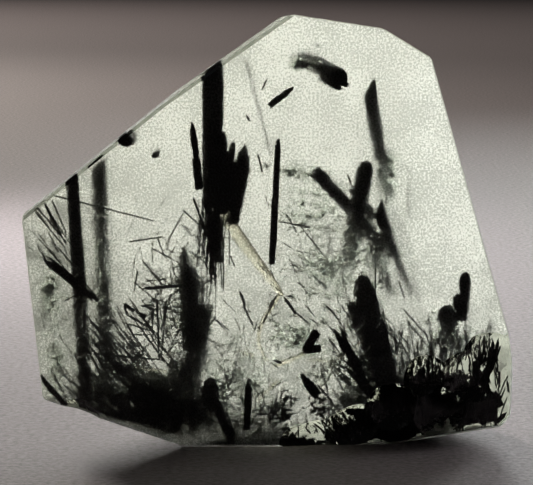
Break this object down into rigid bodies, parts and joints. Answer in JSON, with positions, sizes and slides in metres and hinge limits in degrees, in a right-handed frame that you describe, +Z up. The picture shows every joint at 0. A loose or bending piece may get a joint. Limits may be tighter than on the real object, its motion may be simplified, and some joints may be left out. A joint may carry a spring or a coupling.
{
  "type": "tourmalinated quartz specimen",
  "caption": "Clear faceted quartz block with frosted faces and a chipped foot, standing on its base, with black tourmaline crystals grown through it.",
  "frame": {"origin": "centre of the bounding box, at the flat underside that the piece stands on", "axes": "+Z up, +X to the right seen from the front, +Y from the frosted front face to the back"},
  "size_m": [0.0518, 0.022, 0.0457],
  "materials": {
    "quartz": "clear, frosted on its flat faces and glassy where it is broken",
    "tourmaline": "black, glossy, with fine lengthwise grooves"
  },
  "bodies": {
    "root": {"quartz_front": "quartz", "quartz_back": "quartz", "column": "tourmaline", "column_splinter": "tourmaline", "left_tall_rod": "tourmaline", "left_deep_rod": "tourmaline", "left_cross_rods": "tourmaline", "left_foot_rod": "tourmaline", "edge_stub": "tourmaline", "edge_stub_small": "tourmaline", "crown_stub": "tourmaline", "crown_splinter": "tourmaline", "middle_rod": "tourmaline", "crossed_rods": "tourmaline", "taper_rod": "tourmaline", "knife_rod": "tourmaline", "lens_rod": "tourmaline", "finger_rods": "tourmaline", "foot_rod": "tourmaline", "foot_rod_right": "tourmaline", "slant_bundle": "tourmaline", "bud_rod": "tourmaline", "short_rod": "tourmaline", "notched_blade": "tourmaline", "wedge_rod": "tourmaline", "shaggy_column": "tourmaline"}
  },
  "joints": []
}
